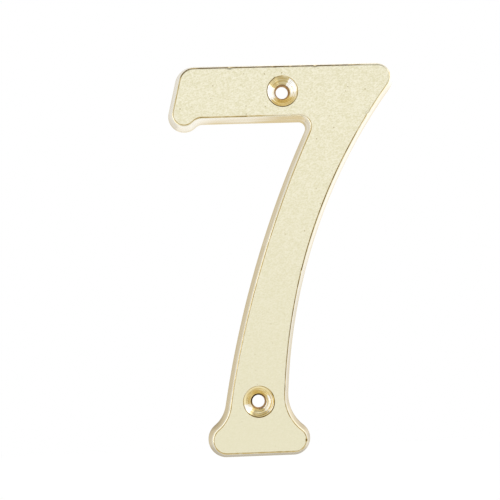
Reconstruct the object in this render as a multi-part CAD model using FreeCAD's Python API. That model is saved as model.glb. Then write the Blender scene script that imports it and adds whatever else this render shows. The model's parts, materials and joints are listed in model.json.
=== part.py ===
import FreeCAD, Part
import math
import os

# Door numeral 7, one casting, in millimetres. X runs to the reader's right and Z up, and the face looks
# along -Y. The back lies in the plane Y = 0, with the origin on it midway between the two screw holes.

# Section from the back to the face
thickness = 4.5            # back to face
wall_draft = 14.0          # degrees the side wall leans in on its way to the face
edge_round = 0.6           # radius where the wall turns over into the face

# Outline, taken on the back: X from the left end of the bar, Z from the underside of the foot
numeral_height = 101.6     # underside of the foot to the top of the bar
bar_depth = 15.3           # top of the bar to its underside
bar_end_lean = 13.6        # degrees the left end of the bar leans back from upright
bar_end_corner = 5.1       # radius at the top of that end
bar_tip_corner = 4.5       # radius of the pointed right end, where bar and stem run out
serif_radius = 4.15        # round lip under the left end of the bar
serif_drop = 1.95          # how far the lip hangs below the underside
serif_hollow = 2.7         # radius from the lip back up to the underside
crook_corner = 1.7         # radius in the crook between the bar and the stem

# Stem: each side is one arc, from the level of the bar's underside to the ankle
shoulder_left = 36.7       # X of the left side at the bar's underside
shoulder_width = 15.75     # across the stem there
ankle_height = 19.8        # level above the foot where the stem is slimmest
ankle_left = 13.85         # X of the left side at the ankle
ankle_width = 15.35        # across the stem there
left_side_radius = 274.0   # left side, bowed out
right_side_radius = 144.0  # right side, bowed in

# Foot
foot_left = 7.9            # X of the left lobe's outermost point
foot_width = 26.25         # lobe to lobe
left_lobe_radius = 4.65
right_lobe_radius = 4.3
left_flare_radius = 8.0    # hollow from the stem out to the left lobe
right_flare_radius = 9.8   # hollow from the stem out to the right lobe

# Screw holes: a countersink, a drafted throat, a short straight land, and a drafted opening to the back
upper_screw_x = 29.75
upper_screw_below_top = 7.75
lower_screw_x = 21.0
lower_screw_height = 14.2
countersink_diameter = 8.0
countersink_angle = 100.0  # degrees between opposite sides
throat_diameter = 4.1      # where the countersink ends
throat_length = 0.9        # from the countersink down to the land
hole_diameter = 3.2        # at the land, the narrowest place
land_length = 0.5
back_draft = 14.0          # degrees the hole opens from the land to the back

NODE = "numeral_seven"
CONVEX = 1
HOLLOW = -1


def plane_point(x, z):
    """Point of the outline's own plane."""
    return FreeCAD.Vector(x, 0, z)


class Straight:
    """Straight side of the outline: a point on it and the direction that looks out of the metal."""

    def __init__(self, point, outward):
        self.point = point
        self.outward = outward

    def nearest(self, centre, inset):
        """Where a circle about centre touches this side once it has moved into the metal by inset."""
        return centre + self.outward * (self.outward.dot(self.point - centre) - inset)


class Curve:
    """Round part of the outline: CONVEX bulges out of the metal, HOLLOW bites into it."""

    def __init__(self, centre, radius, sense):
        self.centre = centre
        self.radius = radius
        self.sense = sense

    def size(self, inset):
        """Radius once the outline has moved into the metal by inset."""
        return self.radius - self.sense * inset

    def towards(self, point, inset):
        """Point of this curve on the line from its centre to another point."""
        return self.centre + (point - self.centre).normalize() * self.size(inset)


def touching_point(first, second, inset):
    """Point where two neighbours of the outline touch; they share their tangent there."""
    if isinstance(first, Straight):
        return first.nearest(second.centre, inset)
    if isinstance(second, Straight):
        return second.nearest(first.centre, inset)
    larger, smaller = sorted((first, second), key=lambda curve: -curve.radius)
    return larger.towards(smaller.centre, inset)


def side_centre(upper, lower, radius):
    """Centre, on the right, of the arc of a stem side through its two ends."""
    chord = upper - lower
    to_right = FreeCAD.Vector(chord.z, 0, -chord.x).normalize()
    reach = math.sqrt(radius ** 2 - (chord.Length / 2) ** 2)
    return (upper + lower) * 0.5 + to_right * reach


def centre_left_of(centre, distance, z):
    """Point at height z that lies at a distance from centre, on its left."""
    return plane_point(centre.x - math.sqrt(distance ** 2 - (z - centre.z) ** 2), z)


def flare_centre(lobe, side, flare_radius, towards_x):
    """Centre of the hollow that touches a foot lobe and a stem side, on the outer side of the stem."""
    from_lobe = lobe.radius + flare_radius
    from_side = side.radius + side.sense * flare_radius
    link = side.centre - lobe.centre
    along = (from_lobe ** 2 - from_side ** 2 + link.Length ** 2) / (2 * link.Length)
    across = math.sqrt(from_lobe ** 2 - along ** 2)
    unit = FreeCAD.Vector(link).normalize()
    normal = FreeCAD.Vector(-unit.z, 0, unit.x)
    middle = lobe.centre + unit * along
    choices = [middle + normal * across, middle - normal * across]
    return max(choices, key=lambda point: point.z + towards_x * point.x)


def outline_parts():
    """Neighbours of the outline in order round the numeral, each touching the next."""
    underside_z = numeral_height - bar_depth
    foot = Straight(plane_point(0, 0), plane_point(0, -1))
    top = Straight(plane_point(0, numeral_height), plane_point(0, 1))
    underside = Straight(plane_point(0, underside_z), plane_point(0, -1))

    left = Curve(
        side_centre(
            plane_point(shoulder_left, underside_z), plane_point(ankle_left, ankle_height), left_side_radius
        ),
        left_side_radius,
        CONVEX,
    )
    right = Curve(
        side_centre(
            plane_point(shoulder_left + shoulder_width, underside_z),
            plane_point(ankle_left + ankle_width, ankle_height),
            right_side_radius,
        ),
        right_side_radius,
        HOLLOW,
    )

    left_lobe = Curve(plane_point(foot_left + left_lobe_radius, left_lobe_radius), left_lobe_radius, CONVEX)
    right_lobe = Curve(
        plane_point(foot_left + foot_width - right_lobe_radius, right_lobe_radius), right_lobe_radius, CONVEX
    )
    left_flare = Curve(flare_centre(left_lobe, left, left_flare_radius, -1), left_flare_radius, HOLLOW)
    right_flare = Curve(flare_centre(right_lobe, right, right_flare_radius, 1), right_flare_radius, HOLLOW)

    tip_z = numeral_height - bar_tip_corner
    tip = Curve(
        centre_left_of(right.centre, right_side_radius + bar_tip_corner, tip_z), bar_tip_corner, CONVEX
    )
    crook_z = underside_z - crook_corner
    crook = Curve(centre_left_of(left.centre, left_side_radius + crook_corner, crook_z), crook_corner, HOLLOW)

    serif = Curve(plane_point(serif_radius, underside_z - serif_drop + serif_radius), serif_radius, CONVEX)
    lean = math.radians(bar_end_lean)
    end_outward = plane_point(-math.cos(lean), math.sin(lean))
    bar_end = Straight(serif.centre + end_outward * serif_radius, end_outward)
    corner_z = numeral_height - bar_end_corner
    rise = corner_z - serif.centre.z
    shift = (rise * math.sin(lean) + bar_end_corner - serif_radius) / math.cos(lean)
    end_corner = Curve(plane_point(serif.centre.x + shift, corner_z), bar_end_corner, CONVEX)
    hollow_z = underside_z - serif_hollow
    reach = math.sqrt((serif_radius + serif_hollow) ** 2 - (serif.centre.z - hollow_z) ** 2)
    lip_hollow = Curve(plane_point(serif.centre.x + reach, hollow_z), serif_hollow, HOLLOW)

    return [
        foot, right_lobe, right_flare, right, tip, top, end_corner, bar_end, serif, lip_hollow, underside,
        crook, left, left_flare, left_lobe,
    ]


def outline_wire(inset, y):
    """Closed outline moved into the metal by inset, in the plane at y."""
    parts = outline_parts()
    depth = FreeCAD.Vector(0, y, 0)
    ends = [touching_point(part, parts[(i + 1) % len(parts)], inset) for i, part in enumerate(parts)]
    edges = []
    for i, part in enumerate(parts):
        start = ends[i - 1]
        end = ends[i]
        if isinstance(part, Straight):
            edges.append(Part.makeLine(start + depth, end + depth))
            continue
        middle = part.towards((start + end) * 0.5, inset)
        edges.append(Part.Arc(start + depth, middle + depth, end + depth).toShape())
    return Part.Wire(edges)


def drafted_plate():
    """Numeral with its leaning side wall, turned over into the face by the edge round."""
    face_inset = thickness * math.tan(math.radians(wall_draft))
    plate = Part.makeLoft([outline_wire(0, 0), outline_wire(face_inset, -thickness)], True, True)
    rim = [edge for edge in plate.Edges if abs(edge.BoundBox.YMax + thickness) < 0.001]
    return plate.makeFillet(edge_round, rim)


def screw_hole(x, z):
    """Cutter for one screw hole, turned about its axis from the face to the back."""
    slope = math.tan(math.radians(countersink_angle / 2))
    countersink_depth = (countersink_diameter - throat_diameter) / 2 / slope
    land_y = -thickness + countersink_depth + throat_length
    back_y = land_y + land_length
    beyond = 1.0
    back_radius = hole_diameter / 2 + (beyond - back_y) * math.tan(math.radians(back_draft))
    profile = [
        (0, -thickness - beyond),
        (countersink_diameter / 2 + beyond * slope, -thickness - beyond),
        (throat_diameter / 2, -thickness + countersink_depth),
        (hole_diameter / 2, land_y),
        (hole_diameter / 2, back_y),
        (back_radius, beyond),
        (0, beyond),
    ]
    points = [FreeCAD.Vector(x + radius, y, z) for radius, y in profile]
    half = Part.Face(Part.makePolygon(points + points[:1]))
    return half.revolve(FreeCAD.Vector(x, 0, z), FreeCAD.Vector(0, 1, 0), 360)


def numeral():
    """Finished casting, moved so that the origin lies midway between its screw holes."""
    upper_screw_z = numeral_height - upper_screw_below_top
    holes = [screw_hole(upper_screw_x, upper_screw_z), screw_hole(lower_screw_x, lower_screw_height)]
    solid = drafted_plate().cut(holes).Solids[0]
    middle_x = (upper_screw_x + lower_screw_x) / 2
    middle_z = (upper_screw_z + lower_screw_height) / 2
    solid.translate(FreeCAD.Vector(-middle_x, 0, -middle_z))
    return solid


os.makedirs("parts", exist_ok=True)
numeral().exportStep(f"parts/{NODE}.step")
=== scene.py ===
"""Brass door numeral 7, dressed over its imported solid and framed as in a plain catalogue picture.

The scene is in metres, in the part's own frame: X to the reader's right, Z up, the face looks along -Y
and the back lies in the plane Y = 0. In the fields below sizes are in millimetres and angles in
degrees, as on a drawing.
"""

import json
import logging
import math
from dataclasses import astuple, dataclass, field
from enum import Enum, IntEnum

import bmesh
import bpy
from mathutils import Matrix, Vector, noise


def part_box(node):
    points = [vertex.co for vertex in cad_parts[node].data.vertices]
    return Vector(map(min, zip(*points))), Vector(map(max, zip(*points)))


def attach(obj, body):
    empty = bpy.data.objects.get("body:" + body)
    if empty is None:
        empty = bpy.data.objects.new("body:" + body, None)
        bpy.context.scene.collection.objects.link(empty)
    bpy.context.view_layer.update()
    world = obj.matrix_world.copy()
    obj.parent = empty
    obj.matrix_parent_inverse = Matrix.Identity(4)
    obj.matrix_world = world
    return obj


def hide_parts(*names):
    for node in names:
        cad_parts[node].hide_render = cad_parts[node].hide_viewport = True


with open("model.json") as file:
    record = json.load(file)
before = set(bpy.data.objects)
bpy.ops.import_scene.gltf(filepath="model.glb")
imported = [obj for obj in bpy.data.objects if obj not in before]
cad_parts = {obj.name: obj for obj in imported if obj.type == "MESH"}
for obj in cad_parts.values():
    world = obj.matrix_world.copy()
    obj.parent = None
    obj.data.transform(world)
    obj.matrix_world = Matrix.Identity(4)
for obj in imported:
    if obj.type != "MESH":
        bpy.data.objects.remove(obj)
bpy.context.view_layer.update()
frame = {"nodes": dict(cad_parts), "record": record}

LOG = logging.getLogger("numeral")
MM = 0.001
NODE = "numeral_seven"
BODY = "root"
PIECE = "numeral_seven_casting"
DEPTH_AXIS = Vector((0.0, 1.0, 0.0))


class Finish(IntEnum):
    """Finish of a region of the casting. The value is its place in the mesh's list of materials."""

    FACE = 0
    EDGE = 1
    WALL = 2
    COUNTERSINK = 3
    THROAT = 4
    BACK = 5


class WearAndPaintedLight(str, Enum):
    """What the mesh carries from place to place, by the name of its attribute: wear, and painted highlight,
    reflection line and shade.
    """

    RESIDUE = "residue"
    SKIN = "skin"
    TURNING = "turning"
    BURNISH = "burnish"
    GRIME = "grime"


class MixSocket(IntEnum):
    """Places of the colour sockets on a Mix node."""

    FACTOR = 0
    FIRST = 6
    SECOND = 7
    RESULT = 2


class Side(Enum):
    """Side of the casting that a flat fill looks towards."""

    FRONT = (0.0, -1.0, 0.0)
    REAR = (0.0, 1.0, 0.0)


def linear(hex_colour: str) -> tuple[float, float, float, float]:
    """Turns an sRGB hex colour into the linear colour that a shader takes.

    Args:
        hex_colour: Six hex digits after a hash sign.

    Returns:
        Linear red, green and blue, with an alpha of 1.
    """
    channels = [int(hex_colour[i : i + 2], 16) / 255 for i in (1, 3, 5)]
    red, green, blue = (c / 12.92 if c <= 0.04045 else ((c + 0.055) / 1.055) ** 2.4 for c in channels)
    return red, green, blue, 1.0


def cells_of(size: float) -> float:
    """Gives the scale of a pattern on Object coordinates whose cells are size millimetres wide."""
    return 1 / (size * MM)


def add_node(
    tree: bpy.types.NodeTree, kind: str, inputs: dict[str | int, object] | None = None, **settings: object
) -> bpy.types.Node:
    """Adds a node with its settings, its values and its links.

    Args:
        tree: Node tree that gets the node.
        kind: Blender's name for the kind of node.
        inputs: Input name or place to a value, or to the output socket that feeds it.
        **settings: The node's own properties.

    Returns:
        The new node.
    """
    node = tree.nodes.new(kind)
    for name, value in settings.items():
        setattr(node, name, value)
    for name, value in (inputs or {}).items():
        if isinstance(value, bpy.types.NodeSocket):
            tree.links.new(value, node.inputs[name])
        else:
            node.inputs[name].default_value = value
    return node


def new_material(name: str) -> bpy.types.Material:
    """Makes a material with an empty node tree.

    Args:
        name: The material's name.

    Returns:
        The new material.
    """
    made = bpy.data.materials.new(name)
    made.use_nodes = True
    made.node_tree.nodes.clear()
    return made


def place_mesh(
    name: str, bm: bmesh.types.BMesh, materials: list[bpy.types.Material]
) -> bpy.types.Object:
    """Turns a built mesh into an object of the scene.

    Args:
        name: Name of the object and of its mesh.
        bm: The built mesh, which is used up.
        materials: The mesh's materials, in order.

    Returns:
        The new object.
    """
    mesh = bpy.data.meshes.new(name)
    bm.to_mesh(mesh)
    bm.free()
    for material in materials:
        mesh.materials.append(material)
    made = bpy.data.objects.new(name, mesh)
    bpy.context.scene.collection.objects.link(made)
    return made


def in_plane(normal: Vector) -> Vector:
    """Gives the way out of the metal within the numeral's own plane, one long."""
    return Vector((normal.x, 0.0, normal.z)).normalized()


@dataclass(frozen=True)
class BrassFinish:
    """Brass whose tone and gloss drift in cells of a real size and whose grain has a real height."""

    name: str
    light_tone: str
    dark_tone: str
    cells: tuple[float, float, float]
    roughness: float
    grain_size: float
    grain_height: float
    cells_turn: float = 0.0
    roughness_spread: float = 0.03
    edge_tint: str = "#FFFFFF"
    cloud_edges: tuple[float, float] = (0.35, 0.65)
    octaves: float = 2.0

    def clouds(self, tree: bpy.types.NodeTree, place: bpy.types.NodeSocket) -> bpy.types.NodeSocket:
        """Spreads soft clouds, long in the direction in which their cells are long.

        Args:
            tree: The material's node tree.
            place: Object coordinates.

        Returns:
            A socket that runs from 0 in the dark clouds to 1 in the light ones.
        """
        laid = add_node(
            tree,
            "ShaderNodeMapping",
            {
                "Vector": place,
                "Rotation": (0.0, math.radians(self.cells_turn), 0.0),
                "Scale": [size * MM for size in self.cells],
            },
            vector_type="TEXTURE",
        )
        drift = add_node(
            tree,
            "ShaderNodeTexNoise",
            {"Vector": laid.outputs["Vector"], "Scale": 1.0, "Detail": self.octaves},
        )
        dark, light = self.cloud_edges
        spread = add_node(
            tree,
            "ShaderNodeMapRange",
            {"Value": drift.outputs["Fac"], "From Min": dark, "From Max": light},
        )
        return spread.outputs["Result"]

    def colour(
        self, tree: bpy.types.NodeTree, place: bpy.types.NodeSocket, clouds: bpy.types.NodeSocket
    ) -> bpy.types.NodeSocket:
        """Mixes the light and dark tones.

        Args:
            tree: The material's node tree.
            place: Object coordinates.
            clouds: Where the tone is light.

        Returns:
            The colour's socket.
        """
        mix = add_node(
            tree,
            "ShaderNodeMix",
            {
                MixSocket.FACTOR: clouds,
                MixSocket.FIRST: linear(self.dark_tone),
                MixSocket.SECOND: linear(self.light_tone),
            },
            data_type="RGBA",
        )
        return mix.outputs[MixSocket.RESULT]

    def relief(self, tree: bpy.types.NodeTree, place: bpy.types.NodeSocket) -> bpy.types.NodeSocket:
        """Raises the grain.

        Args:
            tree: The material's node tree.
            place: Object coordinates.

        Returns:
            The bumped normal's socket.
        """
        grain = add_node(
            tree,
            "ShaderNodeTexNoise",
            {"Vector": place, "Scale": cells_of(self.grain_size), "Detail": self.octaves},
        )
        bump = add_node(
            tree,
            "ShaderNodeBump",
            {"Height": grain.outputs["Fac"], "Distance": self.grain_height * MM, "Strength": 1.0},
        )
        return bump.outputs["Normal"]

    def material(self) -> bpy.types.Material:
        """Builds the material.

        Returns:
            The new material, named for the finish.
        """
        made = new_material(self.name)
        tree = made.node_tree
        place = add_node(tree, "ShaderNodeTexCoord").outputs["Object"]
        clouds = self.clouds(tree, place)
        gloss = add_node(
            tree,
            "ShaderNodeMapRange",
            {
                "Value": clouds,
                "To Min": self.roughness + self.roughness_spread,
                "To Max": self.roughness - self.roughness_spread,
            },
        )
        shader = add_node(
            tree,
            "ShaderNodeBsdfPrincipled",
            {
                "Base Color": self.colour(tree, place, clouds),
                "Metallic": 1.0,
                "Roughness": gloss.outputs["Result"],
                "Specular Tint": linear(self.edge_tint),
                "Normal": self.relief(tree, place),
            },
        )
        add_node(tree, "ShaderNodeOutputMaterial", {"Surface": shader.outputs["BSDF"]})
        return made


@dataclass(frozen=True)
class LinishedFace(BrassFinish):
    """Linished brass: a fine slanting grain, and pits where the belt missed the bottom of the skin."""

    smooth_from: float = 40.0
    smooth_below: float = -50.0
    smooth_share: float = 0.15
    foot_shade_level: float = 0.36
    pit_spacing: float = 4.4
    pit_radius: float = 0.24
    pit_bottom: float = 0.4
    pit_share: float = 0.6
    pit_tone: str = "#B5A77C"

    def fade(self, tree: bpy.types.NodeTree, place: bpy.types.NodeSocket) -> bpy.types.NodeSocket:
        """Lets the grain die away towards the foot, which is worn smoother.

        Args:
            tree: The material's node tree.
            place: Object coordinates.

        Returns:
            A socket that runs from the smooth share at the foot to 1 on the upper half.
        """
        height = add_node(tree, "ShaderNodeSeparateXYZ", {"Vector": place}).outputs["Z"]
        faded = add_node(
            tree,
            "ShaderNodeMapRange",
            {
                "Value": height,
                "From Min": self.smooth_below * MM,
                "From Max": self.smooth_from * MM,
                "To Min": self.smooth_share,
            },
        )
        return faded.outputs["Result"]

    def pits(self, tree: bpy.types.NodeTree, place: bpy.types.NodeSocket) -> bpy.types.NodeSocket:
        """Scatters small pits over the face.

        Args:
            tree: The material's node tree.
            place: Object coordinates.

        Returns:
            A socket that is 1 in a pit and 0 between pits.
        """
        axes = add_node(tree, "ShaderNodeSeparateXYZ", {"Vector": place}).outputs
        flat = add_node(tree, "ShaderNodeCombineXYZ", {"X": axes["X"], "Y": axes["Z"]})
        cells = add_node(
            tree,
            "ShaderNodeTexVoronoi",
            {"Vector": flat.outputs["Vector"], "Scale": cells_of(self.pit_spacing)},
            voronoi_dimensions="2D",
        )
        radius = self.pit_radius / self.pit_spacing
        drop = add_node(
            tree,
            "ShaderNodeMapRange",
            {
                "Value": cells.outputs["Distance"],
                "From Min": radius * self.pit_bottom,
                "From Max": radius,
                "To Min": 1.0,
                "To Max": 0.0,
            },
        )
        chance = add_node(tree, "ShaderNodeSeparateColor", {"Color": cells.outputs["Color"]}).outputs["Red"]
        depth = add_node(tree, "ShaderNodeMapRange", {"Value": chance, "From Min": 1 - self.pit_share})
        pits = drop.outputs["Result"]
        for share in (depth.outputs["Result"], self.fade(tree, place)):
            kept = add_node(tree, "ShaderNodeMath", {0: pits, 1: share}, operation="MULTIPLY")
            pits = kept.outputs["Value"]
        return pits

    def colour(
        self, tree: bpy.types.NodeTree, place: bpy.types.NodeSocket, clouds: bpy.types.NodeSocket
    ) -> bpy.types.NodeSocket:
        """Lays the grain over an even tone that is darker towards the foot, partly painted shade, and darkens
        the pits.

        Args:
            tree: The material's node tree.
            place: Object coordinates.
            clouds: Where the tone is light.

        Returns:
            The colour's socket.
        """
        # Towards the foot the tone settles on a darker level, partly painted shade.
        even = add_node(
            tree,
            "ShaderNodeMapRange",
            {"Value": self.fade(tree, place), "To Min": self.foot_shade_level, "To Max": clouds},
        )
        grained = super().colour(tree, place, even.outputs["Result"])
        pitted = add_node(
            tree,
            "ShaderNodeMix",
            {
                MixSocket.FACTOR: self.pits(tree, place),
                MixSocket.FIRST: grained,
                MixSocket.SECOND: linear(self.pit_tone),
            },
            data_type="RGBA",
        )
        return pitted.outputs[MixSocket.RESULT]


@dataclass(frozen=True)
class Coat:
    """Tone that lies over the metal, from none at one strength of the wear to all at another."""

    tone: str
    first: float
    last: float


@dataclass(frozen=True)
class CoatedBrass(BrassFinish):
    """Brass under thin coats whose strength the mesh carries: casting skin, polishing compound and painted
    light.
    """

    wear: WearAndPaintedLight = WearAndPaintedLight.RESIDUE
    coats: tuple[Coat, ...] = ()
    streaks: float = 0.0

    def colour(
        self, tree: bpy.types.NodeTree, place: bpy.types.NodeSocket, clouds: bpy.types.NodeSocket
    ) -> bpy.types.NodeSocket:
        """Lays the coats over the clean metal, a little stronger in the light clouds.

        Args:
            tree: The material's node tree.
            place: Object coordinates.
            clouds: Where the tone is light.

        Returns:
            The colour's socket.
        """
        tone = super().colour(tree, place, clouds)
        strength = add_node(tree, "ShaderNodeAttribute", attribute_name=self.wear.value).outputs["Fac"]
        streaky = add_node(
            tree, "ShaderNodeMath", {0: clouds, 1: self.streaks, 2: strength}, operation="MULTIPLY_ADD"
        )
        for coat in self.coats:
            share = add_node(
                tree,
                "ShaderNodeMapRange",
                {"Value": streaky.outputs["Value"], "From Min": coat.first, "From Max": coat.last},
            )
            mix = add_node(
                tree,
                "ShaderNodeMix",
                {
                    MixSocket.FACTOR: share.outputs["Result"],
                    MixSocket.FIRST: tone,
                    MixSocket.SECOND: linear(coat.tone),
                },
                data_type="RGBA",
            )
            tone = mix.outputs[MixSocket.RESULT]
        return tone


@dataclass(frozen=True)
class TurnedBrass(CoatedBrass):
    """Brass cut on the turn: its clouds are drawn out into rings, by the radius that the mesh carries."""

    def clouds(self, tree: bpy.types.NodeTree, place: bpy.types.NodeSocket) -> bpy.types.NodeSocket:
        """Spreads the clouds in rings: cells are the width of a ring, then its length in X and Z.

        Args:
            tree: The material's node tree.
            place: Object coordinates.

        Returns:
            A socket that runs from 0 in the dark rings to 1 in the light ones.
        """
        radius = add_node(tree, "ShaderNodeAttribute", attribute_name=WearAndPaintedLight.TURNING.value).outputs["Fac"]
        axes = add_node(tree, "ShaderNodeSeparateXYZ", {"Vector": place}).outputs
        wrapped = add_node(tree, "ShaderNodeCombineXYZ", {"X": radius, "Y": axes["X"], "Z": axes["Z"]})
        return super().clouds(tree, wrapped.outputs["Vector"])


def ease(value: float, low: float, high: float) -> float:
    """Changes smoothly from 0 at low to 1 at high, whichever of them is the larger."""
    share = min(1.0, max(0.0, (value - low) / (high - low)))
    return share * share * (3 - 2 * share)


@dataclass(frozen=True)
class Ramp:
    """Measure along which something comes in, from none at one value to all at another."""

    none_at: float
    all_at: float

    def at(self, value: float) -> float:
        """Gives the share from 0 to 1 at a value of the measure."""
        return ease(value, self.none_at, self.all_at)


@dataclass(frozen=True)
class Run:
    """Strength that changes along the numeral: knots are places in millimetres and the strength at each."""

    knots: tuple[tuple[float, float], ...]

    def at(self, place: float) -> float:
        """Gives the strength at a place, eased from knot to knot and level beyond them.

        Args:
            place: Place along the run, in millimetres.

        Returns:
            The strength.
        """
        strength = self.knots[0][1]
        for (low, before), (high, after) in zip(self.knots, self.knots[1:]):
            strength += (after - before) * ease(place, low, high)
        return strength


@dataclass(frozen=True)
class PolishAndReflectionLine:
    """Painted dark line along a rounded edge, partly polishing compound: its strength, and the tilts it lies
    between, in degrees.
    """

    strength: float
    first_tilt: float
    last_tilt: float
    fade: float = 8.0

    def towards(self, other: "PolishAndReflectionLine", share: float) -> "PolishAndReflectionLine":
        """Blends this line into another by a share from 0 to 1."""
        pairs = zip(astuple(self), astuple(other))
        return PolishAndReflectionLine(*(mine + (its - mine) * share for mine, its in pairs))

    def on(self, normal: Vector) -> float:
        """Gives the strength on a surface whose way out of the metal is known."""
        tilt = math.degrees(math.acos(min(1.0, max(-1.0, -normal.y))))
        starts = ease(tilt, self.first_tilt, self.first_tilt + self.fade)
        return self.strength * starts * ease(tilt, self.last_tilt + self.fade, self.last_tilt)


@dataclass(frozen=True)
class Stretch:
    """Stretch of the outline with a line of its own: where it lies, and which way its wall looks."""

    line: PolishAndReflectionLine
    x: tuple[Ramp, ...] = ()
    z: tuple[Ramp, ...] = ()
    looks_right: Ramp | None = None
    looks_up: Ramp | None = None

    def share(self, place: Vector, outward: Vector) -> float:
        """Tells how far this stretch's line takes over.

        Args:
            place: Place in millimetres.
            outward: Way out of the metal, level with the back.

        Returns:
            Nought off the stretch, one well within it.
        """
        shares = [ramp.at(place.x) for ramp in self.x] + [ramp.at(place.z) for ramp in self.z]
        for ramp, looks in ((self.looks_right, outward.x), (self.looks_up, outward.z)):
            if ramp:
                shares.append(ramp.at(looks))
        return math.prod(shares)


@dataclass(frozen=True)
class ArrisPolishAndReflection:
    """Line along the edges, painted dark reflection and partly compound from the wheel: golden all round,
    dark on some stretches.
    """

    golden: PolishAndReflectionLine = PolishAndReflectionLine(0.42, 9.0, 37.0)
    stretches: tuple[Stretch, ...] = (
        # The right side of the stem has the darkest line.
        Stretch(
            PolishAndReflectionLine(1.05, 6.0, 30.0),
            z=(Ramp(-41.0, -34.0), Ramp(42.0, 14.0)),
            looks_right=Ramp(0.1, 0.5),
        ),
        # On the lower stem both lines lie further down the round.
        Stretch(
            PolishAndReflectionLine(0.46, 24.0, 47.0),
            z=(Ramp(0.0, -24.0), Ramp(-42.0, -36.0)),
            looks_right=Ramp(-0.3, -0.7),
        ),
        Stretch(
            PolishAndReflectionLine(0.95, 24.0, 46.0),
            z=(Ramp(0.0, -24.0), Ramp(-42.0, -36.0)),
            looks_right=Ramp(0.3, 0.7),
        ),
        # The pointed end of the bar is nearly clean on its right, and golden low on its corner.
        Stretch(PolishAndReflectionLine(0.18, 7.0, 31.0), z=(Ramp(24.0, 40.0),), looks_right=Ramp(0.3, 0.7)),
        Stretch(PolishAndReflectionLine(0.52, 46.0, 84.0), x=(Ramp(20.0, 27.0),), looks_up=Ramp(0.1, 0.5)),
        # The top of the bar is dark.
        Stretch(
            PolishAndReflectionLine(1.0, 20.0, 56.0),
            x=(Ramp(28.0, 20.0),),
            z=(Ramp(30.0, 40.0),),
            looks_up=Ramp(0.2, 0.6),
        ),
        # The foot has a clear line over its flares and a wide pale one under it.
        Stretch(PolishAndReflectionLine(0.62, 6.0, 30.0), z=(Ramp(-36.0, -42.0),), looks_up=Ramp(0.15, 0.45)),
        Stretch(PolishAndReflectionLine(0.38, 7.0, 64.0), z=(Ramp(-45.0, -50.0),), looks_up=Ramp(-0.4, -0.8)),
        # Under the bar the line is golden brown, and it fades out in the crook beside the stem.
        Stretch(
            PolishAndReflectionLine(0.55, 14.0, 50.0),
            x=(Ramp(-19.0, -15.0),),
            z=(Ramp(20.0, 28.0),),
            looks_up=Ramp(-0.4, -0.8),
        ),
        Stretch(
            PolishAndReflectionLine(0.12, 5.0, 34.0),
            x=(Ramp(-6.0, 4.0),),
            z=(Ramp(20.0, 28.0),),
            looks_up=Ramp(-0.4, -0.8),
        ),
    )
    rim: PolishAndReflectionLine = PolishAndReflectionLine(1.4, 6.0, 34.0)
    rim_evenness: float = 0.62
    patch_sizes: tuple[float, float] = (2.6, 0.8)
    patchiness: float = 0.6

    def line(self, place: Vector, normal: Vector) -> PolishAndReflectionLine:
        """Finds the line on the outer edge at a place.

        Args:
            place: Place in millimetres.
            normal: Way out of the metal.

        Returns:
            The golden line, or what it has turned into on this stretch.
        """
        outward = in_plane(normal)
        line = self.golden
        for stretch in self.stretches:
            line = line.towards(stretch.line, stretch.share(place, outward))
        return line

    def patch(self, place: Vector) -> float:
        """Makes the painted line stronger and weaker from place to place."""
        return 1 + self.patchiness * sum(noise.noise(place / size) for size in self.patch_sizes)

    def on_outline(self, place: Vector, normal: Vector) -> float:
        """Gives the strength on the outer edge: nought for clean metal, one for the darkest painted line."""
        return self.line(place, normal).on(normal) * self.patch(place)

    def on_rim(self, place: Vector, normal: Vector, side: float, strength: float) -> float:
        """Gives the strength of the painted dark line on the rim of a countersink.

        Args:
            place: Place in millimetres.
            normal: Way out of the metal.
            side: Side of the hole where the painted line is strongest, in degrees anticlockwise from the
                right.
            strength: Strength there.

        Returns:
            Nought for clean metal, one for the darkest painted line.
        """
        away = math.atan2(-normal.z, -normal.x) - math.radians(side)
        uneven = self.rim_evenness + (1 - self.rim_evenness) * math.cos(away)
        return self.rim.on(normal) * strength * uneven * self.patch(place)


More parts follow.
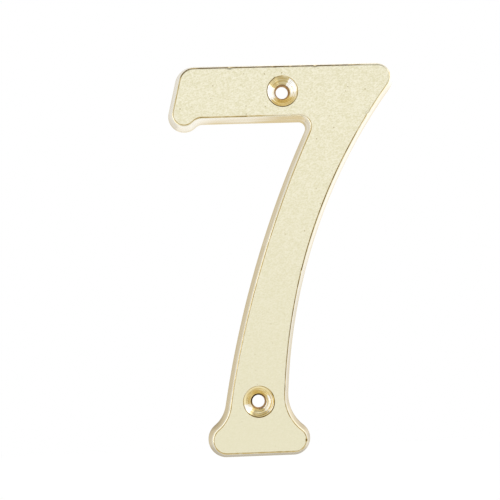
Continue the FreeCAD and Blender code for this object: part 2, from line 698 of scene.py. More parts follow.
@dataclass(frozen=True)
class CastingSkinAndShade:
    """Tan on the wall: skin from the mould, and painted shade on the left, over the foot, towards the crook
    and along the back.

    The runs on the left and on the right go by height, and the one under the bar goes by X. On the right
    the skin also gains evenly from the upper height down to the lower one.
    """

    left: Run = Run(((-46.0, 1.05), (-36.0, 0.9), (26.0, 0.9), (34.0, 0.3)))
    right: Run = Run(((-46.0, 0.35), (-38.0, 0.0)))
    right_gain: float = 1.1
    right_upper: float = 24.0
    right_lower: float = -47.0
    under_bar: Run = Run(((-18.0, 0.16), (-12.0, 0.45), (-5.0, 0.45), (5.0, 1.0)))
    under_foot: float = 0.9
    over_bar: float = 0.3
    over_foot: float = 2.2
    back_shade: float = 0.42
    back_shade_reach: Ramp = Ramp(1.8, 0.0)
    buffed: float = 0.8
    buffed_strip: Ramp = Ramp(2.9, 3.9)
    crook: Ramp = Ramp(-5.0, 5.0)

    def strength(self, place: Vector, normal: Vector) -> float:
        """Gives how much tan, casting skin and painted shade, lies on the wall, weighing the four sides by
        the way that the wall looks.

        Args:
            place: Place in millimetres.
            normal: Way out of the metal.

        Returns:
            Nought for buffed metal, one for full tan and more for the darkest.
        """
        outward = in_plane(normal)
        # Painted shade: the left side is darker than the right.
        sideways = self.left.at(place.z)
        if outward.x > 0:
            down = (self.right_upper - place.z) / (self.right_upper - self.right_lower)
            sideways = self.right.at(place.z) + self.right_gain * min(1.0, max(0.0, down))
        if place.z < 0:
            upright = self.over_foot if outward.z > 0 else self.under_foot
        else:
            upright = self.over_bar if outward.z > 0 else self.under_bar.at(place.x)
        # The wheel took the skin off a strip along the face, though not under the bar beside the stem, where
        # the tan stays as painted shade in the crook.
        unreached = self.crook.at(place.x) * outward.z**2
        left_on = 1 - self.buffed * self.buffed_strip.at(-place.y) * (1 - unreached)
        skin = (outward.x**2 * sideways + outward.z**2 * upright) * left_on
        # Painted shade darkens the wall near the back.
        return skin + self.back_shade * self.back_shade_reach.at(-place.y)


@dataclass(frozen=True)
class Nick:
    """Small knock in an edge: bright where fresh metal shows, dark where dirt has lodged."""

    x: float
    z: float
    radius: float
    depth: float
    dirt: float

    def share(self, place: Vector) -> float:
        """Falls from 1 at the middle of the nick to 0 at its radius, for a place in millimetres."""
        return 1 - ease(math.hypot(place.x - self.x, place.z - self.z), 0.0, self.radius)


@dataclass
class OutlineRun:
    """Stretch of the back outline between two corners, with the way out of the metal at each."""

    start: Vector
    end: Vector
    start_outward: Vector
    end_outward: Vector
    straight_turn: float = 0.006

    @property
    def turn(self) -> float:
        """Angle that the outline turns through, in radians about the Y axis."""
        across = self.start_outward.cross(self.end_outward)
        return math.atan2(across.y, self.start_outward.dot(self.end_outward))

    def trace(self, bm: bmesh.types.BMesh, vert: bmesh.types.BMVert, spacing: float) -> bmesh.types.BMVert:
        """Draws the stretch from its first corner, as a straight line or as the arc that fits its ends.

        Args:
            bm: Mesh that gets the edges.
            vert: Vertex at the first corner.
            spacing: Wanted distance between vertices, in metres.

        Returns:
            The vertex at the second corner.
        """
        chord = self.end - self.start
        steps = max(1, round(chord.length / spacing))
        if abs(math.degrees(self.turn)) < self.straight_turn:
            for _ in range(steps):
                vert = bmesh.ops.extrude_vert_indiv(bm, verts=[vert])["verts"][0]
                bmesh.ops.translate(bm, verts=[vert], vec=chord / steps)
            return vert
        across = DEPTH_AXIS.cross(chord) / 2 / math.tan(self.turn / 2)
        spun = bmesh.ops.spin(
            bm,
            geom=[vert],
            cent=(self.start + self.end) / 2 + across,
            axis=DEPTH_AXIS,
            angle=self.turn,
            steps=steps,
            use_merge=False,
        )
        return next(g for g in spun["geom_last"] if isinstance(g, bmesh.types.BMVert))


@dataclass(frozen=True)
class Sector:
    """Part of the way round a hole, in degrees.

    The side is its middle, anticlockwise from the right. It reaches so far to both hands and then fades.
    """

    side: float
    reach: float
    fade: float
    strength: float = 1.0

    def at(self, angle: float) -> float:
        """Falls from the strength within reach to 0 beyond the fade, for an angle in radians."""
        away = abs((math.degrees(angle) - self.side + 180.0) % 360.0 - 180.0)
        return self.strength * (1 - ease(away, self.reach, self.reach + self.fade))


@dataclass(frozen=True)
class ToolMarks:
    """Marks that the tools left in one hole, with a painted dark rim line, painted white highlights and a
    darker throat side.
    """

    rim_side: float
    rim_strength: float
    ring_pitch: float
    ring_height: float
    rings: Sector
    painted_highlights: tuple[Sector, ...]
    grime: Sector
    chatter: float = 0.006
    chatter_size: float = 0.9

    def burnish(self, angle: float) -> float:
        """Tells how strongly the painted white highlight lies on the cone at an angle in radians."""
        return max(sector.at(angle) for sector in self.painted_highlights)

    def lift(self, angle: float, slant: float, place: Vector) -> float:
        """Gives how far the cone stands out at a place.

        Args:
            angle: Way round the hole, in radians.
            slant: Way down the cone from its rim, in millimetres.
            place: Place in millimetres.

        Returns:
            Millimetres out of the metal.
        """
        rings = self.ring_height * math.sin(math.tau * slant / self.ring_pitch)
        return rings * self.rings.at(angle) + self.chatter * noise.noise(place / self.chatter_size)


@dataclass
class ScrewHole:
    """Countersunk screw hole, turned about an axis along Y."""

    x: float
    z: float
    hole_radius: float
    thickness: float
    marks: ToolMarks
    countersink_diameter: float = 8.0
    countersink_angle: float = 100.0
    throat_diameter: float = 4.1
    throat_length: float = 0.9
    land_length: float = 0.5
    back_draft: float = 14.0
    rim_width: float = 0.2
    rim_round: float = 0.5
    rim_rows: int = 6
    cone_rows: int = 36
    segments: int = 144

    @property
    def lean(self) -> float:
        """Angle between the hole's axis and the countersink's wall, in radians."""
        return math.radians(self.countersink_angle / 2)

    @property
    def countersink_depth(self) -> float:
        """Depth of the countersink below the face."""
        return (self.countersink_diameter - self.throat_diameter) / 2 / math.tan(self.lean)

    def holds(self, place: Vector) -> bool:
        """Tells whether a place in millimetres lies within the mouth of the hole."""
        return self.polar(place)[0] < self.countersink_diameter / 2 + 2 * self.rim_width

    def profile(self) -> list[tuple[float, float, Finish]]:
        """Lists the half section from the flat rim on the face down to the back.

        Returns:
            Radius, Y and the finish of the band that ends there, in millimetres.
        """
        turn = math.pi / 2 - self.lean
        setback = self.rim_round * math.tan(turn / 2)
        rim = self.countersink_diameter / 2 + setback
        face = -self.thickness
        points = [(rim + self.rim_width, face, Finish.FACE), (rim, face, Finish.FACE)]
        for row in range(1, self.rim_rows + 1):
            angle = turn * row / self.rim_rows
            sink = self.rim_round * (1 - math.cos(angle))
            points.append((rim - self.rim_round * math.sin(angle), face + sink, Finish.EDGE))
        start_radius, start_y, _ = points[-1]
        slant = self.countersink_depth / math.cos(self.lean) - setback
        for row in range(1, self.cone_rows + 1):
            along = slant * row / self.cone_rows
            radius = start_radius - along * math.sin(self.lean)
            points.append((radius, start_y + along * math.cos(self.lean), Finish.COUNTERSINK))
        land = face + self.countersink_depth + self.throat_length
        opening = land + self.land_length
        back_radius = self.hole_radius - opening * math.tan(math.radians(self.back_draft))
        points.append((self.hole_radius, land, Finish.THROAT))
        points.append((self.hole_radius, opening, Finish.THROAT))
        points.append((back_radius, 0.0, Finish.THROAT))
        return points

    def polar(self, place: Vector) -> tuple[float, float]:
        """Gives the radius in millimetres and the angle in radians of a place about the hole's axis."""
        right, up = place.x - self.x, place.z - self.z
        return math.hypot(right, up), math.atan2(up, right)

    def work_cone(self, verts: set[bmesh.types.BMVert]) -> None:
        """Lays the tool's rings and chatter on the countersink, fading out at its rim and at its throat.

        Args:
            verts: Vertices of the hole's wall.
        """
        rim, throat = self.countersink_diameter / 2, self.throat_diameter / 2
        for vert in verts:
            place = vert.co / MM
            radius, angle = self.polar(place)
            if not throat < radius < rim:
                continue
            lift = self.marks.lift(angle, (rim - radius) / math.sin(self.lean), place)
            lift *= ease(radius, throat, throat + self.rim_width) * ease(radius, rim, rim - self.rim_width)
            inward = -math.cos(self.lean) * lift * MM
            out = -math.sin(self.lean) * lift * MM
            vert.co += Vector((math.cos(angle) * inward, out, math.sin(angle) * inward))

    def turn(self, bm: bmesh.types.BMesh) -> tuple[list[bmesh.types.BMEdge], list[bmesh.types.BMEdge]]:
        """Spins the half section into the hole's wall.

        Args:
            bm: Mesh that gets the wall.

        Returns:
            The edges round its mouth on the face and round its mouth on the back.
        """
        points = self.profile()
        verts = [bm.verts.new(Vector((self.x + r, y, self.z)) * MM) for r, y, _ in points]
        edges = [bm.edges.new(pair) for pair in zip(verts, verts[1:])]
        before = set(bm.faces)
        bmesh.ops.spin(
            bm,
            geom=verts + edges,
            cent=Vector((self.x, 0.0, self.z)) * MM,
            axis=DEPTH_AXIS,
            angle=math.tau,
            steps=self.segments,
            use_merge=True,
        )
        wall = set(bm.faces) - before
        bands = [
            ((above + below) / 2, (y + next_y) / 2, finish)
            for (above, y, _), (below, next_y, finish) in zip(points, points[1:])
        ]
        for face in wall:
            middle = face.calc_center_median() / MM
            spot = (self.polar(middle)[0], middle.y)
            face.material_index = min(bands, key=lambda band: math.dist(band[:2], spot))[2]
        self.work_cone({vert for face in wall for vert in face.verts})
        mouths = [edge for face in wall for edge in face.edges if edge.is_boundary]
        halfway = -self.thickness * MM / 2
        front = [edge for edge in mouths if edge.verts[0].co.y < halfway]
        rear = [edge for edge in mouths if edge.verts[0].co.y >= halfway]
        return front, rear


@dataclass
class Casting:
    """The numeral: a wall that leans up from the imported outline, its rounded edge, face, holes and back."""

    wall_draft: float = 14.0
    edge_round: float = 0.6
    outline_spacing: float = 0.35
    wall_rows: int = 8
    edge_rows: int = 9
    rim_rows: int = 3
    rim_step: float = 0.12
    face_pitch: float = 0.8
    back_pitch: float = 1.6
    wander: float = 0.02
    wander_size: float = 3.0
    wander_ramp: Ramp = Ramp(0.2, 1.2)
    back_slack: float = 0.01
    weld_gap: float = 0.002
    cut_slack: float = 1e-5
    sliver: float = 1e-4
    tool_marks: dict[str, ToolMarks] = field(
        default_factory=lambda: {
            "upper_screw_bore": ToolMarks(
                rim_side=235.0,
                rim_strength=1.0,
                ring_pitch=0.4,
                ring_height=0.005,
                rings=Sector(0.0, 180.0, 1.0),
                # Sectors of the cone that get the painted white highlight.
                painted_highlights=(
                    Sector(186.0, 22.0, 24.0),
                    Sector(44.0, 8.0, 16.0),
                    Sector(6.0, 26.0, 32.0, 0.54),
                ),
                grime=Sector(100.0, 20.0, 50.0, 0.15),
            ),
            "lower_screw_bore": ToolMarks(
                rim_side=300.0,
                rim_strength=0.85,
                ring_pitch=0.62,
                ring_height=0.015,
                rings=Sector(-15.0, 40.0, 50.0),
                # Sectors of the cone that get the painted white highlight.
                painted_highlights=(Sector(210.0, 11.0, 12.0), Sector(-12.0, 34.0, 22.0, 0.52)),
                grime=Sector(130.0, 30.0, 90.0),
            ),
        }
    )
    nicks: tuple[Nick, ...] = (
        Nick(-9.13, 46.3, 0.7, 0.14, 0.0),
        Nick(13.07, 46.5, 0.8, 0.16, 0.0),
        Nick(2.6, 46.4, 0.5, 0.1, 1.0),
        Nick(26.28, 33.82, 0.9, 0.14, 0.0),
        Nick(7.6, -7.11, 0.9, 0.12, 0.0),
        Nick(7.5, -49.97, 0.5, 0.16, 1.2),
        Nick(-4.62, 33.5, 0.7, 0.08, 0.1),
        Nick(5.1, 43.8, 1.1, 0.1, 0.2),
        Nick(2.45, 43.56, 0.35, 0.1, 1.2),
        Nick(-1.75, -42.4, 0.5, 0.12, 1.2),
    )
    polish_and_reflection: ArrisPolishAndReflection = ArrisPolishAndReflection()
    skin: CastingSkinAndShade = CastingSkinAndShade()
    thickness: float = field(init=False)
    holes: list[ScrewHole] = field(init=False, default_factory=list)

    def __post_init__(self) -> None:
        """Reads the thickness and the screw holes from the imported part."""
        low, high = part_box(NODE)
        self.thickness = (high.y - low.y) / MM
        for mount in frame["record"]["mounts"]:
            if mount["kind"] == "bore":
                x, _, z = (value / MM for value in mount["pos_m"])
                marks = self.tool_marks[mount["name"]]
                self.holes.append(ScrewHole(x, z, mount["dims"]["r_mm"], self.thickness, marks))

    def outline_runs(self) -> list[OutlineRun]:
        """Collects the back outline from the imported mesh, in order round the numeral.

        Returns:
            The stretches of the outline, each starting where the one before ends.
        """
        mesh = frame["nodes"][NODE].data
        normals = mesh.corner_normals
        runs: dict[tuple[int, int], OutlineRun] = {}
        for polygon in mesh.polygons:
            loops = list(polygon.loop_indices)
            for loop, after in zip(loops, loops[1:] + loops[:1]):
                start = mesh.vertices[mesh.loops[loop].vertex_index].co
                end = mesh.vertices[mesh.loops[after].vertex_index].co
                off_back = max(abs(start.y), abs(end.y)) > self.back_slack * MM
                in_hole = any(hole.holds(start / MM) for hole in self.holes)
                faces_back = polygon.normal.y > 0.5
                if off_back or in_hole or faces_back:
                    continue
                outward = [in_plane(normals[corner].vector) for corner in (loop, after)]
                runs[self.key(start)] = OutlineRun(start.copy(), end.copy(), *outward)
        first = min(runs.values(), key=lambda run: (run.start.z, run.start.x))
        ordered = [first]
        while self.key(ordered[-1].end) != self.key(first.start):
            ordered.append(runs[self.key(ordered[-1].end)])
        return ordered

    @staticmethod
    def key(point: Vector) -> tuple[int, int]:
        """Names a corner of the outline by its place in whole microns."""
        return round(point.x * 1e6), round(point.z * 1e6)

    def section_steps(self) -> list[tuple[float, float, Finish]]:
        """Lists the steps up the wall, over the edge and onto the face.

        Returns:
            Inset and rise of each step in millimetres, with the finish of the band it makes.
        """
        draft = math.radians(self.wall_draft)
        turn = math.pi / 2 - draft
        setback = self.edge_round * math.tan(turn / 2)
        wall = self.thickness / math.cos(draft) - setback
        rung = wall / self.wall_rows
        steps = [(rung * math.sin(draft), rung * math.cos(draft), Finish.WALL)] * self.wall_rows
        angles = [draft + turn * row / self.edge_rows for row in range(self.edge_rows + 1)]
        for angle, following in zip(angles, angles[1:]):
            inset = self.edge_round * (math.cos(angle) - math.cos(following))
            rise = self.edge_round * (math.sin(following) - math.sin(angle))
            steps.append((inset, rise, Finish.EDGE))
        return steps + [(self.rim_step, 0.0, Finish.FACE)] * self.rim_rows

    def raise_wall(
        self, bm: bmesh.types.BMesh
    ) -> tuple[list[bmesh.types.BMEdge], list[bmesh.types.BMEdge]]:
        """Draws the outline on the back and insets it step by step up to the face.

        Args:
            bm: Mesh that gets the wall.

        Returns:
            The edges of the innermost ring on the face, and of the outline on the back.
        """
        runs = self.outline_runs()
        earlier = set(bm.edges)
        vert = bm.verts.new(runs[0].start)
        for run in runs:
            vert = run.trace(bm, vert, self.outline_spacing * MM)
        bmesh.ops.remove_doubles(bm, verts=bm.verts, dist=self.weld_gap * MM)
        outline = [edge for edge in bm.edges if edge not in earlier]
        top = bmesh.ops.edgeloop_fill(bm, edges=outline)["faces"][0]
        bm.normal_update()
        if top.normal.y > 0:
            bmesh.ops.reverse_faces(bm, faces=[top])
        for inset, rise, finish in self.section_steps():
            top.material_index = finish
            bmesh.ops.inset_region(
                bm,
                faces=[top],
                thickness=inset * MM,
                depth=rise * MM,
                use_even_offset=True,
                use_boundary=True,
            )
        # The edges that were drawn have moved up with the inset face, so the open ones are looked up again.
        back_edges = [edge for edge in bm.edges if edge.is_boundary and edge not in earlier]
        face_edges = list(top.edges)
        bmesh.ops.delete(bm, geom=[top], context="FACES_ONLY")
        return face_edges, back_edges

    @staticmethod
    def fill(
        bm: bmesh.types.BMesh, edges: list[bmesh.types.BMEdge], side: Side, finish: Finish
    ) -> list[bmesh.types.BMFace]:
        """Closes a flat region that has holes in it.

        Args:
            bm: Mesh that gets the faces.
            edges: The loops round the region and round its holes.
            side: Side that the faces look towards.
            finish: Finish of the faces.

        Returns:
            The new faces.
        """
        before = set(bm.faces)
        bmesh.ops.triangle_fill(bm, use_beauty=False, use_dissolve=True, edges=edges, normal=side.value)
        made = list(set(bm.faces) - before)
        for face in made:
            face.material_index = finish
        return made

    def cut_grid(self, bm: bmesh.types.BMesh, faces: list[bmesh.types.BMFace], pitch: float) -> None:
        """Cuts flat faces into a square grid, so that dents and waves have vertices to move.

        Args:
            bm: Mesh that holds the faces.
            faces: Faces to cut.
            pitch: Side of a square, in millimetres.
        """
        geom = list({*faces, *(e for f in faces for e in f.edges), *(v for f in faces for v in f.verts)})
        low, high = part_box(NODE)
        for axis in (0, 2):
            normal = Vector((0.0, 0.0, 0.0))
            normal[axis] = 1.0
            for step in range(1, math.ceil((high[axis] - low[axis]) / (pitch * MM))):
                place = low.copy()
                place[axis] += step * pitch * MM
                parted = bmesh.ops.bisect_plane(
                    bm, geom=geom, dist=self.cut_slack * MM, plane_co=place, plane_no=normal
                )
                geom = parted["geom"]

    def roughen(self, bm: bmesh.types.BMesh) -> None:
        """Lets the wall and its edge wander inwards a little, as on a wheel, and knocks in the nicks.

        Args:
            bm: Mesh with its normals outward.
        """
        bm.normal_update()
        sides = (Finish.EDGE, Finish.WALL)
        for vert in {v for face in bm.faces if face.material_index in sides for v in face.verts}:
            place = vert.co / MM
            if not any(hole.holds(place) for hole in self.holes):
                inwards = 0.5 + 0.5 * noise.noise(place / self.wander_size)
                reach = self.wander * inwards * self.wander_ramp.at(-place.y)
                vert.co -= Vector((vert.normal.x, 0.0, vert.normal.z)) * reach * MM
        for vert in bm.verts:
            if vert.co.y < -self.thickness * MM / 2:
                vert.co.y += sum(nick.depth * nick.share(vert.co / MM) for nick in self.nicks) * MM

    def measure(self, wear: WearAndPaintedLight, vert: bmesh.types.BMVert) -> float:
        """Works out one kind of wear or painted light at a vertex.

        Args:
            wear: Kind of wear.
            vert: Vertex of a surface that shows it.

        Returns:
            The value that the mesh carries there.
        """
        place = vert.co / MM
        if wear == WearAndPaintedLight.SKIN:
            return self.skin.strength(place, vert.normal)
        hole = min(self.holes, key=lambda h: h.polar(place)[0])
        radius, angle = hole.polar(place)
        if wear == WearAndPaintedLight.TURNING:
            return radius * MM
        # One side of the throat is made darker.
        if wear == WearAndPaintedLight.GRIME:
            return hole.marks.grime.at(angle)
        # Painted white highlight on the cone, by side.
        if wear == WearAndPaintedLight.BURNISH:
            return hole.marks.burnish(angle)
        # Painted dark reflection line, partly polishing compound, on the rims and the outer edge; nicks set
        # their own value.
        if hole.holds(place):
            value = self.polish_and_reflection.on_rim(place, vert.normal, hole.marks.rim_side, hole.marks.rim_strength)
        else:
            value = self.polish_and_reflection.on_outline(place, vert.normal)
        for nick in self.nicks:
            value += (nick.dirt - value) * nick.share(place)
        return value

    def lay_wear_and_painted_light(self, bm: bmesh.types.BMesh) -> None:
        """Writes each kind of wear and painted light as an attribute of the surface that shows it.

        Args:
            bm: Mesh with its normals outward.
        """
        bm.normal_update()
        shows = {
            WearAndPaintedLight.RESIDUE: Finish.EDGE,
            WearAndPaintedLight.SKIN: Finish.WALL,
            WearAndPaintedLight.TURNING: Finish.COUNTERSINK,
            WearAndPaintedLight.BURNISH: Finish.COUNTERSINK,
            WearAndPaintedLight.GRIME: Finish.THROAT,
        }
        layers = {wear: bm.verts.layers.float.new(wear.value) for wear in shows}
        for wear, finish in shows.items():
            for vert in {v for face in bm.faces if face.material_index == finish for v in face.verts}:
                vert[layers[wear]] = self.measure(wear, vert)

    @staticmethod
    def mark_arrises(bm: bmesh.types.BMesh) -> None:
        """Shades everything smooth apart from the corners where two machined or cast surfaces meet.

        Args:
            bm: The finished mesh.
        """
        tangent = {Finish.FACE, Finish.EDGE, Finish.WALL, Finish.COUNTERSINK}
        for face in bm.faces:
            face.smooth = True
        for edge in bm.edges:
            met = {face.material_index for face in edge.link_faces}
            edge.smooth = len(met) == 1 or met <= tangent

    def build(self) -> bpy.types.Object:
        """Builds the whole mesh and dresses it.

        Returns:
            The casting, in place, with its finishes.
        """
        bm = bmesh.new()
        back_edges: list[bmesh.types.BMEdge] = []
        face_edges: list[bmesh.types.BMEdge] = []
        for front, rear in [*(hole.turn(bm) for hole in self.holes), self.raise_wall(bm)]:
            face_edges += front
            back_edges += rear
        self.cut_grid(bm, self.fill(bm, back_edges, Side.REAR, Finish.BACK), self.back_pitch)
        self.cut_grid(bm, self.fill(bm, face_edges, Side.FRONT, Finish.FACE), self.face_pitch)
        bmesh.ops.dissolve_degenerate(bm, dist=self.sliver * MM, edges=bm.edges)
        bmesh.ops.recalc_face_normals(bm, faces=bm.faces)
        self.roughen(bm)
        self.lay_wear_and_painted_light(bm)
        self.mark_arrises(bm)
        piece = place_mesh(PIECE, bm, [FINISHES[finish].material() for finish in Finish])
        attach(piece, BODY)
        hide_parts(NODE)
        return piece


FINISHES: dict[Finish, BrassFinish] = {
    # Brass taken flat on a fine belt: a pale satin sheen with a slanting grain, which is too fine to show
    # at its real width and so is drawn as coarse as a pixel.
    Finish.FACE: LinishedFace(
        name="linished_brass_face",
        light_tone="#F6F1DA",
        dark_tone="#E4DEBB",
        cells=(0.42, 1.0, 0.25),
        cells_turn=-18.0,
        roughness=0.3,
        roughness_spread=0.015,
        grain_size=0.65,
        grain_height=0.0016,
    ),
    # The same brass rounded on a wheel: soft glints beside a painted dark line, gold to olive brown, partly
    # polishing compound.
    Finish.EDGE: CoatedBrass(
        name="buffed_brass_edge",
        light_tone="#F3EDD6",
        dark_tone="#EDE6C8",
        cells=(2.0, 2.0, 2.0),
        roughness=0.24,
        grain_size=0.9,
        grain_height=0.004,
        wear=WearAndPaintedLight.RESIDUE,
        # The two coats paint the dark reflection line, partly polishing compound.
        coats=(Coat("#D4BC80", 0.0, 0.4), Coat("#6C5318", 0.4, 1.0)),
    ),
    # Brass from the mould, half buffed: cream where the wheel reached, elsewhere tan in long streaks, part
    # skin, part painted shade.
    Finish.WALL: CoatedBrass(
        name="half_buffed_cast_brass_wall",
        light_tone="#FAF7EE",
        dark_tone="#F5F0E2",
        cells=(9.0, 0.9, 9.0),
        roughness=0.22,
        grain_size=0.8,
        grain_height=0.006,
        wear=WearAndPaintedLight.SKIN,
        # The tan coats carry casting skin and painted shade.
        coats=(Coat("#D2BE8E", 0.18, 1.18), Coat("#A08A58", 1.5, 2.3)),
        streaks=0.36,
    ),
    # Brass fresh from the countersink: gold in rings, with a painted white highlight streaked over sides of
    # the cone.
    Finish.COUNTERSINK: TurnedBrass(
        name="turned_brass_countersink",
        light_tone="#F6E9BA",
        dark_tone="#D6BD7C",
        cells=(0.34, 6.0, 6.0),
        roughness=0.14,
        roughness_spread=0.04,
        grain_size=0.5,
        grain_height=0.002,
        wear=WearAndPaintedLight.BURNISH,
        # The near-white coat is a painted highlight, streaked by the rings.
        coats=(Coat("#FFFDF6", 0.6, 1.0),),
        streaks=0.6,
    ),
    # Brass drilled and left dull: a brown ring round the screw hole, its brown painted shade inside the hole,
    # near black on one side of the lower hole.
    Finish.THROAT: CoatedBrass(
        name="drilled_brass_throat",
        light_tone="#CBAC84",
        dark_tone="#B08E66",
        cells=(1.0, 1.0, 1.0),
        roughness=0.3,
        grain_size=0.4,
        grain_height=0.004,
        edge_tint="#CDB79A",
        wear=WearAndPaintedLight.GRIME,
        # The near-black coat darkens one side of the throat.
        coats=(Coat("#2A2010", 0.0, 1.0),),
    ),
    # Brass straight from the mould: a dull even yellow with a soft sandy grain.
    Finish.BACK: BrassFinish(
        name="as_cast_brass_back",
        light_tone="#DACB9B",
        dark_tone="#CAB987",
        cells=(0.9, 0.9, 0.9),
        roughness=0.42,
        grain_size=0.5,
        grain_height=0.03,
    ),
}


@dataclass
class StudioPiece:
    """Something flat that stands round the numeral, out of the picture, and faces it."""

    name: str
    azimuth: float
    elevation: float
    wide: float
    high: float
    distance: float = 400.0
    rise: float = 0.0

    @property
    def place(self) -> Vector:
        """Middle of the piece, in metres."""
        return (self.away * self.distance + Vector((0.0, 0.0, self.rise))) * MM

    @property
    def away(self) -> Vector:
        """Direction from the numeral to the piece."""
        turn, lift = math.radians(self.azimuth), math.radians(self.elevation)
        return Vector((math.sin(turn) * math.cos(lift), -math.cos(turn) * math.cos(lift), math.sin(lift)))

    @property
    def size(self) -> tuple[float, float]:
        """Width and height in metres of a piece that looks wide by high degrees across from the numeral."""
        width, height = (2 * math.tan(math.radians(angle / 2)) for angle in (self.wide, self.high))
        return width * self.distance * MM, height * self.distance * MM


@dataclass
class Card(StudioPiece):
    """Plain card that the metal mirrors as a tone."""

    tone: str = "#FFFFFF"

    def material(self) -> bpy.types.Material:
        """Makes the card's own even tone.

        Returns:
            The new material.
        """
        made = new_material(f"plain_{self.name}")
        tree = made.node_tree
        glow = add_node(tree, "ShaderNodeEmission", {"Color": linear(self.tone)})
        add_node(tree, "ShaderNodeOutputMaterial", {"Surface": glow.outputs["Emission"]})
        return made

    def build(self) -> bpy.types.Object:
        """Stands the card up.

        Returns:
            The card, hidden from the camera.
        """
        bm = bmesh.new()
        bmesh.ops.create_grid(bm, x_segments=1, y_segments=1, size=0.5)
        bmesh.ops.scale(bm, verts=bm.verts, vec=(*self.size, 1.0))
        facing = (-self.away).to_track_quat("Z", "Y").to_matrix()
        bmesh.ops.rotate(bm, verts=bm.verts, cent=(0.0, 0.0, 0.0), matrix=facing)
        bmesh.ops.translate(bm, verts=bm.verts, vec=self.place)
        card = place_mesh(self.name, bm, [self.material()])
        card.visible_camera = False
        return card


@dataclass
class Softbox(StudioPiece):
    """Large soft lamp."""

    brightness: float = 1.0

    def build(self) -> bpy.types.Object:
        """Hangs the lamp.

        Returns:
            The lamp.
        """
        data = bpy.data.lights.new(self.name, "AREA")
        data.shape = "RECTANGLE"
        data.size, data.size_y = self.size
        data.energy = self.brightness * math.pi * data.size * data.size_y
        lamp = bpy.data.objects.new(self.name, data)
        lamp.location = self.place
        lamp.rotation_mode = "QUATERNION"
        lamp.rotation_quaternion = (-self.away).to_track_quat("-Z", "Y")
        lamp.visible_camera = False
        bpy.context.scene.collection.objects.link(lamp)
        return lamp


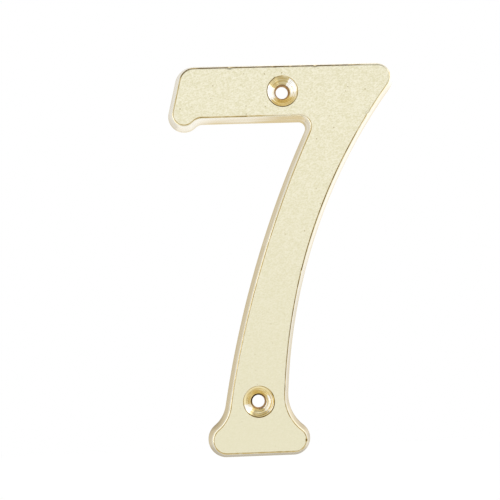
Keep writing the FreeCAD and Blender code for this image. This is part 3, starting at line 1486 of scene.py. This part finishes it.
@dataclass
class Studio:
    """White studio: a pale floor well below the numeral, a white surround, grey cards and soft lamps."""

    floor_gap: float = 400.0
    floor_side: float = 8000.0
    floor_tone: str = "#8C8C8A"
    floor_glow: float = 0.8
    surround_tone: str = "#FFFFFF"
    fill_strength: float = 0.8
    cards: tuple[Card, ...] = (
        Card("right_card", 47.0, -12.0, 40.0, 56.0, tone="#D4D4D4"),
        Card("overhead_card", 0.0, 51.0, 70.0, 46.0, tone="#B0B0B0"),
        Card("left_card", -46.0, 0.0, 40.0, 80.0, tone="#E0E0E0"),
        Card("low_front_card", 0.0, -56.0, 60.0, 40.0, tone="#DCDCDC"),
        Card("side_left_card", -118.0, 5.0, 14.0, 70.0, tone="#A4A4A4"),
        Card("rear_left_card", -150.0, 5.0, 50.0, 60.0, tone="#F2F2F2"),
        Card("low_rear_card", 180.0, -46.0, 70.0, 18.0, 140.0, tone="#D2D2D2"),
    )
    lamps: tuple[Softbox, ...] = (
        Softbox("front_softbox", 3.0, 28.0, 46.0, 36.0, 2000.0, brightness=0.18),
        Softbox("right_softbox", 88.0, 0.0, 44.0, 53.0, 100.0, 55.0, brightness=0.5),
        Softbox("left_softbox", -90.0, 0.0, 44.0, 66.0, 100.0, -6.0, brightness=0.6),
        Softbox("rear_right_softbox", 155.0, 21.0, 40.0, 50.0, brightness=0.2),
        Softbox("low_rear_softbox", 180.0, -37.0, 60.0, 30.0, brightness=0.1),
    )

    @staticmethod
    def seen(tree: bpy.types.NodeTree) -> bpy.types.NodeSocket:
        """Tells the rays that show a surface, by eye or in the metal, from those that only light others.

        Args:
            tree: Node tree that gets the nodes.

        Returns:
            A socket that is 1 for the camera's, glossy and transmission rays.
        """
        path = add_node(tree, "ShaderNodeLightPath")
        by_eye = path.outputs["Is Camera Ray"]
        for kind in ("Is Glossy Ray", "Is Transmission Ray"):
            either = add_node(
                tree, "ShaderNodeMath", {0: by_eye, 1: path.outputs[kind]}, operation="MAXIMUM"
            )
            by_eye = either.outputs["Value"]
        return by_eye

    def floor(self) -> bpy.types.Object:
        """Lays the floor: it takes the light of the room, and the picture shows it white.

        Returns:
            The floor.
        """
        low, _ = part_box(NODE)
        bm = bmesh.new()
        bmesh.ops.create_grid(bm, x_segments=1, y_segments=1, size=self.floor_side * MM / 2)
        bmesh.ops.translate(bm, verts=bm.verts, vec=(0.0, 0.0, low.z - self.floor_gap * MM))
        material = new_material("matt_white_floor")
        tree = material.node_tree
        matt = add_node(tree, "ShaderNodeBsdfDiffuse", {"Color": linear(self.floor_tone)}).outputs["BSDF"]
        white = add_node(
            tree,
            "ShaderNodeEmission",
            {"Color": linear(self.surround_tone), "Strength": self.floor_glow},
        )
        both = add_node(tree, "ShaderNodeAddShader", {0: matt, 1: white.outputs["Emission"]})
        shown = add_node(
            tree, "ShaderNodeMixShader", {0: self.seen(tree), 1: matt, 2: both.outputs["Shader"]}
        )
        add_node(tree, "ShaderNodeOutputMaterial", {"Surface": shown.outputs["Shader"]})
        made = place_mesh("floor", bm, [material])
        return made

    def surround(self) -> None:
        """Sets the world: white where the camera or the metal sees it, and a plain fill elsewhere."""
        world = bpy.data.worlds.new("white_surround")
        world.use_nodes = True
        tree = world.node_tree
        tree.nodes.clear()
        strength = add_node(
            tree,
            "ShaderNodeMapRange",
            {"Value": self.seen(tree), "To Min": self.fill_strength, "To Max": 1.0},
        )
        glow = add_node(
            tree,
            "ShaderNodeBackground",
            {"Color": linear(self.surround_tone), "Strength": strength.outputs["Result"]},
        )
        add_node(tree, "ShaderNodeOutputWorld", {"Surface": glow.outputs["Background"]})
        bpy.context.scene.world = world

    def build(self) -> list[bpy.types.Object]:
        """Sets up the whole studio.

        Returns:
            The floor, the cards and the lamps.
        """
        bpy.context.scene.view_settings.view_transform = "Standard"
        self.surround()
        return [self.floor(), *(piece.build() for piece in (*self.cards, *self.lamps))]


@dataclass
class PhotoCamera:
    """Camera at the picture's viewing angle, a little below and to the left of the numeral's middle."""

    place: tuple[float, float, float] = (-20.8, -327.33, -18.995)
    looks_at: tuple[float, float, float] = (-5.384, -4.5, -1.059)
    roll: float = -1.9
    lens: float = 90.86
    sensor: float = 36.0
    near: float = 10.0

    def build(self) -> bpy.types.Object:
        """Sets the camera up and makes it the scene's own.

        Returns:
            The camera.
        """
        data = bpy.data.cameras.new("photo_camera")
        data.lens = self.lens
        data.sensor_width = self.sensor
        data.clip_start = self.near * MM
        camera = bpy.data.objects.new("photo_camera", data)
        sight = Vector(self.looks_at) - Vector(self.place)
        level = sight.to_track_quat("-Z", "Y").to_matrix()
        turned = level @ Matrix.Rotation(math.radians(self.roll), 3, "Z")
        camera.matrix_world = Matrix.Translation(Vector(self.place) * MM) @ turned.to_4x4()
        bpy.context.scene.collection.objects.link(camera)
        bpy.context.scene.camera = camera
        return camera


def main() -> None:
    """Builds the casting, the studio and the camera, and reports each piece."""
    logging.basicConfig(level=logging.INFO, format="%(name)s: %(message)s")
    piece = Casting().build()
    LOG.info("%s: %d faces", piece.name, len(piece.data.polygons))
    for made in Studio().build():
        LOG.info("studio %s", made.name)
    LOG.info("camera %s", PhotoCamera().build().name)


if __name__ == "__main__":
    main()
